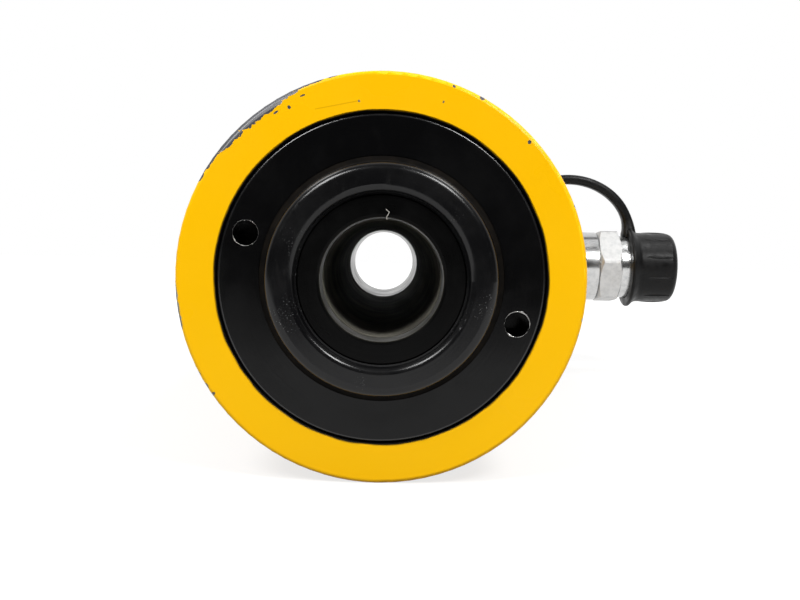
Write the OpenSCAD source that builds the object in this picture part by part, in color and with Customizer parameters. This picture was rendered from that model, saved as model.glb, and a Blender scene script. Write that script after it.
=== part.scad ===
// Hollow plunger hydraulic cylinder, lying on its side: plunger towards -Y, coupler towards +X, +Z up.
// Every module is drawn along its own +Z, from the rear base face at z = 0, and then laid down.

/* [Body] */
// Outside diameter of the cylinder body
body_d = 114.3; // [112:0.1:118]
// Length from the rear base face to the painted front face
body_l = 321; // [318:1:340]
// Bore that the piston runs in
bore_d = 88.9; // [87:0.1:90]
// Thickness of the closed base
base_t = 30; // [29:0.5:34]
// Chamfer round the base
base_chamfer = 3; // [1:0.5:5]
// Rounding of the painted front edge
front_round = 1.2; // [0.5:0.1:2]
// Small chamfer inside the painted front ring
mouth_chamfer = 0.6; // [0.3:0.1:1]
// Length of the threaded collar at the front
collar_l = 42; // [38:1:50]
// Width of the relief groove behind the collar
relief_w = 4; // [3:0.5:6]
// Depth of the relief groove
relief_depth = 1.2; // [0.8:0.1:1.8]
// Bolt circle of the two base mounting holes
mount_pcd = 92.2; // [90:0.1:94]
// Tapping diameter of the base mounting holes
mount_hole_d = 8; // [6.8:0.1:9]
// Depth of the base mounting holes
mount_hole_depth = 14; // [10:1:18]

/* [Stop ring] */
// Outside diameter of the stop ring
stop_d = 91.4; // [90.5:0.1:92]
// Length of the stop ring
stop_l = 36.2; // [32:0.1:38]
// How far its face sits below the painted front face
stop_recess = 0.8; // [0.4:0.1:2]
// Chamfer on its front edge
stop_chamfer = 0.8; // [0.4:0.1:1.2]
// Bolt circle of the two spanner holes
spanner_pcd = 79.4; // [78:0.1:81]
// Diameter of the spanner holes
spanner_d = 7.1; // [6:0.1:7.5]
// Depth of the spanner holes
spanner_depth = 12; // [8:1:16]
// Angle of the first spanner hole, seen from the plunger end
spanner_angle = -17.5; // [-30:0.1:30]
// Length of the bearing strip inside the stop ring
bearing_l = 16; // [10:1:18]
// Wall of the bearing strip
bearing_wall = 2.5; // [2:0.1:3]
// Width of the wiper round the plunger
wiper_wall = 2.3; // [1.8:0.1:2.6]
// Length of the wiper
wiper_l = 6; // [5:0.5:8]

/* [Plunger] */
// Outside diameter of the plunger
plunger_d = 63.5; // [62:0.1:64]
// How far the plunger stands out of the body when it is retracted
plunger_proud = 10; // [6:0.5:14]
// Rounding of the plunger's outer edge
plunger_round = 2.6; // [0.8:0.1:3]
// Rounding of the plunger's inner edge
plunger_inner_round = 2; // [1:0.1:2.2]
// Length of the piston flange
piston_l = 48; // [46:1:52]
// Length of the turned-down lead below the piston seals
piston_lead_l = 12; // [10:1:14]
// Diameter of the turned-down lead
piston_lead_d = 82; // [78:0.5:84]
// Space below the piston when it is retracted
piston_rest = 2; // [1:0.5:4]

/* [Saddle] */
// Thickness of the hollow saddle
saddle_t = 14; // [10:0.5:16]
// How far the saddle sits below the plunger's end
saddle_recess = 2.3; // [1.5:0.1:3]
// Width of the ledge that the saddle sits on
saddle_ledge = 0.5; // [0.4:0.1:1]
// Hole through the saddle
saddle_hole_d = 33.6; // [33.4:0.1:36]
// Chamfer on the edge of the saddle's hole
saddle_chamfer = 0.9; // [0.4:0.1:1.5]

/* [Centre tube] */
// Outside diameter of the centre tube
tube_d = 44.45; // [43:0.05:44.6]
// Hole right through the cylinder
tube_hole_d = 33.3; // [31:0.1:33.4]
// Gap between the tube's end and the saddle
tube_end_gap = 1.2; // [0.6:0.1:3]
// Diameter of the tube's seating flange
tube_flange_d = 52; // [49:0.5:56]
// Thickness of the seating flange
tube_flange_t = 8; // [6:0.5:9]
// Depth of the pocket for the retaining ring
clip_pocket_depth = 6; // [5:0.5:7]
// Diameter of the pocket for the retaining ring
clip_pocket_d = 56; // [54:0.5:60]
// Thickness of the retaining ring
clip_t = 1.75; // [1.5:0.05:2]

/* [Return spring] */
// Wire of the return spring
spring_wire = 6; // [5:0.1:6.2]
// Mean diameter of the return spring
spring_d = 75; // [74:0.5:77]
// Turns of the return spring
spring_turns = 7; // [5:0.5:7]

/* [Coupler] */
// Height of the oil port above the base face
port_z = 37; // [36:0.5:44]
// Bore of the tapped oil port
port_d = 17.1; // [16:0.1:18]
// Drilled passage from the port to the bore
port_drill_d = 7; // [5:0.5:8]
// Depth of the tapped port
port_depth = 10; // [8:0.5:11]
// Gap between the body and the adapter's shoulder
shoulder_gap = 1; // [0.6:0.1:2]
// Diameter of the adapter's shoulder
shoulder_d = 28; // [26:0.5:30]
// Length of the adapter's shoulder
shoulder_l = 14; // [12:0.5:16]
// Diameter of the round coupler body
coupler_d = 36.9; // [36:0.1:38]
// Length of the round coupler body
coupler_l = 43.2; // [40:0.1:50]
// Width across the flats of the hex
hex_af = 36; // [34:0.5:37]
// Length of the hex
hex_l = 11.5; // [9:0.1:13]
// Angle of the hex corner that faces the plunger end
hex_angle = -8; // [-29:1:29]
// Diameter of the polished neck
neck_d = 33.4; // [32:0.1:34]
// Length of the polished neck
neck_l = 6.3; // [4:0.1:8]
// Diameter of the coupler's nose
nose_d = 30; // [28:0.1:31]
// Length of the coupler's nose
nose_l = 19.5; // [18:0.1:22]

/* [Dust cap] */
// Outside diameter of the dust cap
cap_d = 37.5; // [37:0.1:40]
// Diameter of the cap's flared lip
cap_lip_d = 43; // [41:0.1:45]
// Thickness of the cap's closed end
cap_end_t = 4; // [3:0.1:5]
// Rounding of the cap's closed end
cap_round = 3; // [2:0.1:4]
// Number of grip ribs
cap_ribs = 10; // [6:1:14]
// Thickness of the strap, seen from the plunger end
strap_t = 5.2; // [4:0.1:6]
// Width of the strap, front to back
strap_w = 7; // [5:0.5:9]
// Height of the strap's arch above the coupler's axis
strap_h = 49.5; // [44:0.5:54]
// Width of the strap's loop round the shoulder
loop_w = 7; // [5:0.5:9]

/* [Hidden] */
$fn = 96;
eps = 0.01;
cut = 1;
// Radial gap of parts that slide past each other without guiding
slide_gap = 0.3;
// Radial gap of bearings and seals on the face they run on
run_gap = 0.05;
// Radial gap of pieces that are fitted and stay put
seat_gap = 0.05;

// Stop ring, bearing and wiper
stop_z1 = body_l - stop_recess;
stop_z0 = stop_z1 - stop_l;
seat_d = stop_d + 2 * slide_gap;
stop_bore_d = plunger_d + 2 * slide_gap;
bearing_id = plunger_d + 2 * run_gap;
bearing_od = bearing_id + 2 * bearing_wall;
bearing_land = 4;
bearing_z0 = stop_z0 + bearing_land;
wiper_od = plunger_d + 2 * wiper_wall;
wiper_z0 = stop_z1 - wiper_l;

// Plunger and piston
plunger_z1 = body_l + plunger_proud;
piston_z0 = base_t + piston_rest;
piston_z1 = piston_z0 + piston_l;
piston_d = bore_d - 2 * slide_gap;
plunger_bore_d = tube_d + 2 * slide_gap;
saddle_z1 = plunger_z1 - saddle_recess;
saddle_z0 = saddle_z1 - saddle_t;
saddle_d = plunger_bore_d + 2 * saddle_ledge;
saddle_seat_d = saddle_d + 2 * seat_gap;
plunger_mouth_d = saddle_seat_d + 1;
seal_t = 8;
backup_t = 3;
seal_land = 4;
seal_z0 = piston_z0 + piston_lead_l + seal_land;
seal_depth = 6;
seal_groove_d = piston_d - 2 * seal_depth;
wear_l = 8;
wear_depth = 2.6;
wear_land = 7;
wear_z0 = seal_z0 + seal_t + backup_t + wear_land;
inner_seal_t = 6;
inner_seal_depth = 4.5;
inner_groove_d = plunger_bore_d + 2 * inner_seal_depth;

// Centre tube and its seat in the base
tube_z1 = saddle_z0 - tube_end_gap;
tube_seat_d = tube_d + 2 * seat_gap;
flange_z1 = base_t;
flange_z0 = flange_z1 - tube_flange_t;
tube_groove_depth = 2.8;
tube_groove_d = tube_d - 2 * tube_groove_depth;
o_ring_d = 2.7;
tube_backup_t = 1.8;
tube_groove_land = 5;
tube_groove_slack = 0.6;
tube_groove_z0 = clip_pocket_depth + tube_groove_land;
tube_groove_l = o_ring_d + tube_backup_t + tube_groove_slack;
clip_groove_depth = 1.2;
clip_z0 = clip_pocket_depth - clip_t;
clip_w = 3.6;
clip_gap_w = 9;

// Coupler, measured along its own axis from the cylinder's axis
tail_u0 = body_d / 2 - port_depth;
shoulder_u0 = body_d / 2 + shoulder_gap;
round_u0 = shoulder_u0 + shoulder_l;
hex_u0 = round_u0 + coupler_l;
neck_u0 = hex_u0 + hex_l;
nose_u0 = neck_u0 + neck_l;
nose_u1 = nose_u0 + nose_l;
oil_way_d = 7;
coupler_wall = 6;
coupler_chamfer = 1.5;
joint_chamfer = 0.8;
hex_chamfer_r = 2.4;
hex_chamfer_l = 1.4;
nose_chamfer = 1.2;
spigot_d = 24;
spigot_l = 13;
valve_bore_d = 20;
mouth_d = 12;
mouth_l = 5;
seat_cone_l = (valve_bore_d - mouth_d) / 2;
seat_u0 = nose_u1 - mouth_l - seat_cone_l;
poppet_gap = 0.2;
poppet_head_d = valve_bore_d - 3;
poppet_cone_l = (poppet_head_d - mouth_d) / 2 + 1;
poppet_head_l = 4;
poppet_cone_u0 = nose_u1 - mouth_l - (poppet_head_d - mouth_d) / 2 - poppet_gap * sqrt(2);
poppet_back_u = poppet_cone_u0 - poppet_head_l;
poppet_stem_d = 6;
poppet_tip_d = 8;
guide_t = 5;
guide_u0 = hex_u0 - spigot_l + 1;
guide_u1 = guide_u0 + guide_t;
poppet_stem_u0 = guide_u0 - 1;
poppet_spring_wire = 1.5;
poppet_spring_d = 10.5;
poppet_spring_turns = 5.5;
nose_seal_w = 2.2;
nose_seal_wall = 1.8;
nose_seal_land = 1.4;
nose_seal_u0 = nose_u1 - mouth_l + nose_seal_land;
guide_hole_d = 3.4;
poppet_tip_recess = 1;

// Dust cap and strap
cap_overlap = 1.2;
cap_lip_chamfer = 1.2;
cap_u0 = nose_u0 - cap_overlap;
cap_u1 = nose_u1 + slide_gap + cap_end_t;
cap_lip_l = 4.2;
cap_flare_l = 3;
cap_rib_r = 1.2;
cap_rib_proud = 0.4;
loop_d = shoulder_d + 2 * slide_gap;
loop_wall = 4;
loop_u = shoulder_u0 + shoulder_l * 0.6;
strap_v0 = shoulder_d / 2 + loop_wall;
strap_u1 = cap_u0 + cap_lip_l / 2;
strap_half = (strap_u1 - loop_u) / 2;
strap_mid = (strap_u1 + loop_u) / 2;
strap_steps = 28;

// Turns a shape drawn along +Z so that its front end points to -Y
module lay_down() { rotate([90, 0, 0]) children(); }

// Puts a shape drawn along +Z on the coupler's axis, with z measured from the cylinder's axis
module on_coupler() { lay_down() translate([0, 0, port_z]) rotate([0, 90, 0]) children(); }

// A plain ring between two heights
module ring(outer, inner, z0, z1) {
    difference() {
        translate([0, 0, z0]) cylinder(d = outer, h = z1 - z0);
        translate([0, 0, z0 - cut]) cylinder(d = inner, h = z1 - z0 + 2 * cut);
    }
}

// A plain hole between two heights
module hole(d, z0, z1) { translate([0, 0, z0]) cylinder(d = d, h = z1 - z0); }

// What a rounding takes off an outer edge at the top of a round piece
module round_off(d, z1, r) {
    rotate_extrude() difference() {
        translate([d / 2 - r, z1 - r]) square(r + cut);
        translate([d / 2 - r, z1 - r]) circle(r);
    }
}

// What a rounding takes off the edge of a hole at the top of a piece
module mouth_round_off(d, z1, r) {
    rotate_extrude() difference() {
        translate([d / 2 - eps, z1 - r]) square([r + eps, r + cut]);
        translate([d / 2 + r, z1 - r]) circle(r);
    }
}

// What a chamfer takes off an outer edge: top at z1, or bottom where dir is -1
module chamfer_off(d, z, c, dir) {
    rotate_extrude() polygon([[d / 2 - c, z], [d / 2 + cut, z - dir * (c + cut)], [d / 2 + cut, z + dir * cut],
        [d / 2 - c, z + dir * cut]]);
}

// A cone that opens a hole's mouth at z, towards +Z where dir is 1
module mouth_off(d, z, c, dir) {
    rotate_extrude() polygon([[0, z - dir * (d / 2 + c)], [d / 2 + c + cut, z + dir * cut], [0, z + dir * cut]]);
}

// Height of a spring's wire along its length, with one flat turn at each end
function coil_z(t, turns, lo, hi, wire) =
    let (k = t * turns, rise = hi - lo - 2 * wire)
    k < 1 ? lo + wire * k : k > turns - 1 ? hi - wire * (turns - k) :
        lo + wire + rise * (k - 1) / (turns - 2);

// A coil spring between two faces
module coil(d, wire, turns, z0, z1, sides, per_turn) {
    rings = round(turns * per_turn);
    pts = [for (i = [0:rings], j = [0:sides - 1])
        let (t = i / rings, a = 360 * turns * t, b = 360 * j / sides, r = d / 2 + wire / 2 * cos(b))
        [r * cos(a), r * sin(a), coil_z(t, turns, z0 + wire / 2, z1 - wire / 2, wire) + wire / 2 * sin(b)]];
    skin = [for (i = [0:rings - 1], j = [0:sides - 1])
        let (k = (j + 1) % sides)
        [i * sides + j, i * sides + k, (i + 1) * sides + k, (i + 1) * sides + j]];
    near = [for (j = [sides - 1:-1:0]) j];
    far = [for (j = [0:sides - 1]) rings * sides + j];
    polyhedron(points = pts, faces = concat(skin, [near, far]));
}

// Yellow body: closed base, bore, seat for the stop ring, collar and oil port
module cylinder_body() {
    color("gold") lay_down() difference() {
        cylinder(d = body_d, h = body_l);
        hole(bore_d, base_t, body_l);
        hole(seat_d, stop_z0, body_l + cut);
        mouth_off(seat_d, body_l, mouth_chamfer, 1);
        round_off(body_d, body_l, front_round);
        chamfer_off(body_d, 0, base_chamfer, -1);
        ring(body_d + 2 * cut, body_d - 2 * relief_depth, body_l - collar_l - relief_w, body_l - collar_l);
        hole(tube_seat_d, -cut, base_t + cut);
        hole(tube_flange_d + 2 * seat_gap, flange_z0, base_t + cut);
        hole(clip_pocket_d, -cut, clip_pocket_depth);
        for (side = [-1, 1]) translate([0, side * mount_pcd / 2, 0]) hole(mount_hole_d, -cut, mount_hole_depth);
        translate([0, 0, port_z]) rotate([0, 90, 0]) {
            hole(port_d, tail_u0, body_d);
            hole(port_drill_d, 0, body_d);
        }
    }
}

// Centre tube with its seating flange, seal groove and clip groove
module centre_tube() {
    color("gainsboro") lay_down() difference() {
        union() {
            cylinder(d = tube_d, h = tube_z1);
            hole(tube_flange_d, flange_z0, flange_z1);
        }
        hole(tube_hole_d, -cut, tube_z1 + cut);
        ring(tube_d + 2 * cut, tube_groove_d, tube_groove_z0, tube_groove_z0 + tube_groove_l);
        ring(tube_d + 2 * cut, tube_d - 2 * clip_groove_depth, clip_z0 - seat_gap, clip_z0 + clip_t);
    }
}

module tube_o_ring() {
    color("black") lay_down()
        translate([0, 0, tube_groove_z0 + tube_backup_t + tube_groove_slack / 2 + o_ring_d / 2]) rotate_extrude()
            translate([tube_groove_d / 2 + o_ring_d / 2 + seat_gap, 0]) circle(d = o_ring_d);
}

module tube_backup_ring() {
    color("white") lay_down()
        ring(tube_d - seat_gap, tube_groove_d + 2 * seat_gap, tube_groove_z0 + seat_gap, tube_groove_z0 + tube_backup_t);
}

// Open clip with two ears that hold the plier holes
module tube_retaining_ring() {
    inner = tube_d - 2 * clip_groove_depth + 2 * seat_gap;
    ear_d = 5;
    ear_r = inner / 2 + clip_w / 2;
    ear_a = asin((clip_gap_w + ear_d) / 2 / ear_r);
    color("dimgray") lay_down() translate([0, 0, clip_z0]) difference() {
        union() {
            difference() {
                ring(inner + 2 * clip_w, inner, 0, clip_t);
                translate([0, -clip_gap_w / 2, -cut]) cube([tube_d, clip_gap_w, clip_t + 2 * cut]);
            }
            for (side = [-1, 1]) rotate(side * ear_a) translate([ear_r, 0, 0])
                intersection() {
                    cylinder(d = ear_d, h = clip_t);
                    translate([inner / 2 - ear_r, -ear_d, 0]) cube([ear_d, 2 * ear_d, clip_t]);
                }
        }
        for (side = [-1, 1]) rotate(side * ear_a) translate([ear_r, 0, -cut])
            cylinder(d = ear_d * 0.4, h = clip_t + 2 * cut);
    }
}

// Black stop ring that holds the spring in, with two spanner holes
module stop_ring() {
    color("dimgray") lay_down() difference() {
        hole(stop_d, stop_z0, stop_z1);
        hole(stop_bore_d, stop_z0 - cut, stop_z1 + cut);
        hole(bearing_od + 2 * seat_gap, bearing_z0, bearing_z0 + bearing_l + 2 * seat_gap);
        hole(wiper_od + 2 * seat_gap, wiper_z0, stop_z1 + cut);
        chamfer_off(stop_d, stop_z1, stop_chamfer, 1);
        for (turn = [0, 180]) rotate(spanner_angle + turn) translate([spanner_pcd / 2, 0, 0])
            hole(spanner_d, stop_z1 - spanner_depth, stop_z1 + cut);
    }
}

module gland_bearing() {
    color("peru") lay_down()
        ring(bearing_od, bearing_id, bearing_z0 + seat_gap, bearing_z0 + bearing_l + seat_gap);
}

// Wiper with a lip that leans on the plunger
module rod_wiper() {
    inner = plunger_d / 2 + run_gap;
    outer = wiper_od / 2;
    color("saddlebrown") lay_down() rotate_extrude()
        polygon([[inner + 0.6, wiper_z0 + seat_gap], [outer, wiper_z0 + seat_gap], [outer, stop_z1 - 0.2],
            [inner + 0.9, stop_z1], [inner, stop_z1 + 0.3], [inner, stop_z1 - 0.8], [inner + 0.6, stop_z1 - 2.4]]);
}

// Hollow plunger with its piston flange and the grooves for the rings on it
module plunger() {
    color("dimgray") lay_down() difference() {
        union() {
            hole(plunger_d, piston_z0, plunger_z1);
            hole(piston_lead_d, piston_z0, piston_z1);
            hole(piston_d, piston_z0 + piston_lead_l, piston_z1);
        }
        hole(plunger_bore_d, piston_z0 - cut, plunger_z1 + cut);
        hole(saddle_seat_d, saddle_z0, plunger_z1 + cut);
        round_off(plunger_d, plunger_z1, plunger_round);
        hole(plunger_mouth_d, saddle_z1, plunger_z1 + cut);
        mouth_round_off(plunger_mouth_d, plunger_z1, plunger_inner_round);
        ring(bore_d, seal_groove_d, seal_z0, seal_z0 + seal_t + backup_t);
        ring(bore_d, piston_d - 2 * wear_depth, wear_z0, wear_z0 + wear_l);
        hole(inner_groove_d, seal_z0, seal_z0 + inner_seal_t + backup_t);
    }
}

// Hollow saddle screwed into the plunger's end
module saddle() {
    color("black") lay_down() difference() {
        hole(saddle_d, saddle_z0, saddle_z1);
        hole(saddle_hole_d, saddle_z0 - cut, saddle_z1 + cut);
        mouth_off(saddle_hole_d, saddle_z1, saddle_chamfer, 1);
        chamfer_off(saddle_d, saddle_z1, seat_gap * 8, 1);
    }
}

// Lip seal with a groove that the oil opens
module piston_seal() {
    outer = bore_d / 2 - run_gap;
    inner = seal_groove_d / 2 + seat_gap;
    z0 = seal_z0 + seat_gap;
    color("black") lay_down() rotate_extrude()
        polygon([[inner, z0], [inner + 1.6, z0], [(inner + outer) / 2, z0 + 3], [outer - 1.6, z0], [outer, z0],
            [outer, seal_z0 + seal_t], [inner, seal_z0 + seal_t]]);
}

module piston_backup_ring() {
    color("white") lay_down() ring(bore_d - 2 * run_gap, seal_groove_d + 2 * seat_gap,
        seal_z0 + seal_t, seal_z0 + seal_t + backup_t - seat_gap);
}

module piston_wear_ring() {
    color("darkgreen") lay_down() ring(bore_d - 2 * run_gap, piston_d - 2 * wear_depth + 2 * seat_gap,
        wear_z0 + seat_gap, wear_z0 + wear_l - seat_gap);
}

// Lip seal on the centre tube
module inner_seal() {
    outer = inner_groove_d / 2 - seat_gap;
    inner = tube_d / 2 + run_gap;
    z0 = seal_z0 + seat_gap;
    color("black") lay_down() rotate_extrude()
        polygon([[inner, z0], [inner + 1.4, z0], [(inner + outer) / 2, z0 + 2.4], [outer - 1.4, z0], [outer, z0],
            [outer, seal_z0 + inner_seal_t], [inner, seal_z0 + inner_seal_t]]);
}

module inner_backup_ring() {
    color("white") lay_down() ring(inner_groove_d - 2 * seat_gap, tube_d + 2 * run_gap,
        seal_z0 + inner_seal_t, seal_z0 + inner_seal_t + backup_t - seat_gap);
}

// Return spring round the plunger, between the piston and the stop ring
module return_spring() {
    color("slategray") lay_down()
        coil(spring_d, spring_wire, spring_turns, piston_z1 + seat_gap, stop_z0 - seat_gap, 10, 20);
}

// Rear half of the coupler: tapered tail, shoulder and round body
module coupler_adapter() {
    color("silver") on_coupler() difference() {
        union() {
            hole(port_d - 2 * seat_gap, tail_u0 + seat_gap, shoulder_u0 + cut);
            hole(shoulder_d, shoulder_u0, round_u0);
            hole(coupler_d, round_u0, hex_u0);
        }
        hole(oil_way_d, tail_u0 - cut, hex_u0);
        hole(spigot_d + 2 * seat_gap, round_u0 + coupler_wall, hex_u0 + cut);
        chamfer_off(coupler_d, round_u0, coupler_chamfer, -1);
        chamfer_off(coupler_d, hex_u0, joint_chamfer, 1);
    }
}

// Front half of the coupler: threaded spigot, hex, neck and nose, with the valve seat inside
module coupler_nose() {
    color("silver") on_coupler() difference() {
        union() {
            hole(spigot_d, hex_u0 - spigot_l, hex_u0 + cut);
            intersection() {
                rotate(hex_angle) translate([0, 0, hex_u0]) cylinder(d = hex_af / cos(30), h = hex_l, $fn = 6);
                rotate_extrude() polygon([[0, hex_u0], [hex_af / 2, hex_u0],
                    [hex_af / 2 + hex_chamfer_r, hex_u0 + hex_chamfer_l],
                    [hex_af / 2 + hex_chamfer_r, neck_u0 - hex_chamfer_l], [hex_af / 2, neck_u0], [0, neck_u0]]);
            }
            hole(neck_d, neck_u0 - eps, nose_u0);
            hole(nose_d, nose_u0 - eps, nose_u1);
        }
        hole(valve_bore_d, hex_u0 - spigot_l - cut, seat_u0);
        translate([0, 0, seat_u0 - eps]) cylinder(d1 = valve_bore_d, d2 = mouth_d, h = seat_cone_l + eps);
        hole(mouth_d, seat_u0, nose_u1 + cut);
        hole(mouth_d + 2 * nose_seal_wall, nose_seal_u0, nose_seal_u0 + nose_seal_w);
        chamfer_off(nose_d, nose_u1, nose_chamfer, 1);
    }
}

module nose_seal() {
    u0 = nose_seal_u0 + seat_gap;
    color("black") on_coupler()
        ring(mouth_d + 2 * nose_seal_wall - 2 * seat_gap, mouth_d, u0, u0 + nose_seal_w - 2 * seat_gap);
}

// Poppet valve that a mating coupler pushes in
module poppet() {
    color("lightgray") on_coupler() union() {
        hole(poppet_stem_d, poppet_stem_u0, poppet_cone_u0);
        hole(poppet_head_d, poppet_back_u, poppet_cone_u0);
        translate([0, 0, poppet_cone_u0]) cylinder(d1 = poppet_head_d, d2 = poppet_head_d - 2 * poppet_cone_l,
            h = poppet_cone_l);
        hole(poppet_tip_d, poppet_cone_u0, nose_u1 - poppet_tip_recess);
    }
}

// Guide that carries the poppet's stem and lets the oil pass
module poppet_guide() {
    color("goldenrod") on_coupler() difference() {
        hole(valve_bore_d - 2 * seat_gap, guide_u0, guide_u1);
        hole(poppet_stem_d + 2 * run_gap, guide_u0 - cut, guide_u1 + cut);
        for (turn = [0, 120, 240]) rotate(turn) translate([valve_bore_d * 0.34, 0, 0])
            hole(guide_hole_d, guide_u0 - cut, guide_u1 + cut);
    }
}

module poppet_spring() {
    color("slategray") on_coupler()
        coil(poppet_spring_d, poppet_spring_wire, poppet_spring_turns, guide_u1 + seat_gap,
            poppet_back_u - seat_gap, 8, 14);
}

// Rubber dust cap with a flared lip and grip ribs
module dust_cap() {
    rib_u0 = cap_u0 + cap_lip_l + cap_flare_l;
    rib_l = cap_u1 - cap_round - rib_u0;
    color("black") on_coupler() difference() {
        union() {
            hole(cap_d, cap_u0, cap_u1);
            hole(cap_lip_d, cap_u0, cap_u0 + cap_lip_l);
            translate([0, 0, cap_u0 + cap_lip_l]) cylinder(d1 = cap_lip_d, d2 = cap_d, h = cap_flare_l);
            for (i = [0:cap_ribs - 1]) rotate(360 / cap_ribs * (i + 0.5))
                translate([cap_d / 2 - cap_rib_r + cap_rib_proud, 0, rib_u0]) cylinder(r = cap_rib_r, h = rib_l);
        }
        hole(nose_d + 2 * slide_gap, cap_u0 - cut, nose_u1 + slide_gap);
        hole(neck_d + 2 * slide_gap, cap_u0 - cut, nose_u0 + slide_gap);
        round_off(cap_d, cap_u1, cap_round);
        chamfer_off(cap_lip_d, cap_u0, cap_lip_chamfer, -1);
    }
}

// One point of the strap's arch: the half ellipse through its two ends, moved out by off
function strap_point(a, off) =
    let (rise = strap_h - strap_v0 - strap_t / 2, n = [rise * cos(a), strap_half * sin(a)])
    [strap_mid + strap_half * cos(a), strap_v0 + rise * sin(a)] + off * n / norm(n);

// Rubber strap: a loop round the adapter's shoulder and an arch over to the cap's lip
module cap_strap() {
    outer = [for (i = [0:strap_steps]) strap_point(180 * i / strap_steps, strap_t / 2)];
    inner = [for (i = [strap_steps:-1:0]) strap_point(180 * i / strap_steps, -strap_t / 2)];
    foot = strap_v0 - loop_wall / 2;
    color("black") difference() {
        union() {
            on_coupler() ring(loop_d + 2 * loop_wall, loop_d, loop_u - loop_w / 2, loop_u + loop_w / 2);
            lay_down() translate([0, 0, port_z]) linear_extrude(strap_w, center = true) {
                polygon(concat(outer, inner));
                translate([loop_u - strap_t / 2, foot]) square([strap_t, strap_v0 - foot + eps]);
                translate([strap_u1 - strap_t / 2, foot]) square([strap_t, strap_v0 - foot + eps]);
            }
        }
        on_coupler() hole(cap_lip_d + 2 * slide_gap, cap_u0 - 2, cap_u1);
    }
}

cylinder_body();
centre_tube();
tube_o_ring();
tube_backup_ring();
tube_retaining_ring();
stop_ring();
gland_bearing();
rod_wiper();
plunger();
saddle();
piston_seal();
piston_backup_ring();
piston_wear_ring();
inner_seal();
inner_backup_ring();
return_spring();
coupler_adapter();
coupler_nose();
nose_seal();
poppet();
poppet_guide();
poppet_spring();
dust_cap();
cap_strap();
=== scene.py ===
# %% [markdown]
# # A hollow plunger cylinder
# A hydraulic cylinder with a hole right through it lies on its side and shows its plunger end. The solids
# come from the imported model and stay where they are. This lesson gives them their finish, and adds what is
# too soft or too fine for the solids: the rubber cap and strap, the screw threads, copies of the springs
# and the burrs round the spanner holes.

# %% Load the frame
import math

import bmesh
import bpy
from mathutils import Euler, Matrix, Vector


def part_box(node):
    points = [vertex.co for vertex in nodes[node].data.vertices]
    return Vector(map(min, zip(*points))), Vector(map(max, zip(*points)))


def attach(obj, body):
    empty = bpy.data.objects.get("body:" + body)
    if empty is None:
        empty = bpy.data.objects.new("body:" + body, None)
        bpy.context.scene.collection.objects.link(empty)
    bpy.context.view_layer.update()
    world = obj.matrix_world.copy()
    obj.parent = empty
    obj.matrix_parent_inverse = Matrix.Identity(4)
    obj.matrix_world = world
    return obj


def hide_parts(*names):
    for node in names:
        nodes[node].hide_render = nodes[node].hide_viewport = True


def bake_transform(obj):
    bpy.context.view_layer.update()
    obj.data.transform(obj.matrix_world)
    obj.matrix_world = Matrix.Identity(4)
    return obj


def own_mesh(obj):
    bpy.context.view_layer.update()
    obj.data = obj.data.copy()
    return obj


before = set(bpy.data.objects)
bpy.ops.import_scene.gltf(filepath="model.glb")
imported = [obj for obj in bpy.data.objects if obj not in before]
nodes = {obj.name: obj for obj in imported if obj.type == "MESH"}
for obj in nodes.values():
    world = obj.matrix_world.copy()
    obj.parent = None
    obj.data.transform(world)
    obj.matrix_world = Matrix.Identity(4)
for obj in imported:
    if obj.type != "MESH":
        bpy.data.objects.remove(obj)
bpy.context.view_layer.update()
scene = bpy.context.scene
MM = 0.001
print("nodes in the frame:", len(nodes))

# %% [markdown]
# ## Sizes
# The main places are read from the solids, so that the finish follows them. The cylinder's axis is the Y
# axis, with the plunger at the low end. The coupler's axis runs along X at the height of the oil port.

# %% Read the sizes of the pieces
body_low, body_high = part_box("cylinder_body")
cap_low, cap_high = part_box("dust_cap")
strap_low, strap_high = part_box("cap_strap")
stop_low, stop_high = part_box("stop_ring")
body_r = body_high.x
front_y = body_low.y
floor_z = -body_r
stop_face_y = stop_low.y
port_y = (cap_low.y + cap_high.y) / 2
print("body radius %.2f mm, front face at %.1f mm" % (body_r / MM, front_y / MM))

# %% [markdown]
# ## Camera
# The circles of the photo give the camera. Their shrinking along the bore gives the distance, and the point
# that their centres run to is where the cylinder's axis vanishes. The camera looks almost along the axis. The
# coupler hangs a little, so the camera is rolled by about a degree.

# %% Place the camera
PHOTO_W = 800
PHOTO_H = 600
FOCAL_PX = 1050
VANISH_PX = (386, 244.5)
FRONT_DISTANCE = 290 * MM
ROLL_DEGREES = 1.2
CAMERA_X = 0.98 * MM
CAMERA_Z = 9.5 * MM
SENSOR_MM = 36

camera_data = bpy.data.cameras.new("camera")
camera_data.sensor_width = SENSOR_MM
camera_data.lens = FOCAL_PX * SENSOR_MM / PHOTO_W
camera_data.clip_start = 0.01
camera = bpy.data.objects.new("camera", camera_data)
scene.collection.objects.link(camera)
camera.location = (CAMERA_X, front_y - FRONT_DISTANCE, CAMERA_Z)
roll = math.radians(ROLL_DEGREES)
off_x = VANISH_PX[0] - PHOTO_W / 2
off_y = PHOTO_H / 2 - VANISH_PX[1]
level_x = off_x * math.cos(roll) - off_y * math.sin(roll)
level_y = off_x * math.sin(roll) + off_y * math.cos(roll)
pitch = math.atan2(level_y, FOCAL_PX)
yaw = math.atan2(-level_x, FOCAL_PX)
look = Euler((math.pi / 2 - pitch, 0, -yaw)).to_matrix() @ Matrix.Rotation(roll, 3, "Z")
camera.rotation_euler = look.to_euler()
scene.camera = camera
print("lens %.2f mm, pitch %.2f degrees" % (camera_data.lens, math.degrees(pitch)))

# %% [markdown]
# ## Stage
# The floor is a pale table that keeps a soft shadow. Most of what the camera sees of it is plain white, so
# that it runs into the white backdrop. It ends a little in front of the cylinder, and the lower half of the
# black faces mirrors it. The backdrop is the world: white behind the cylinder and dim behind the camera, as
# in a studio, which is what keeps the black steel black.

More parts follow.
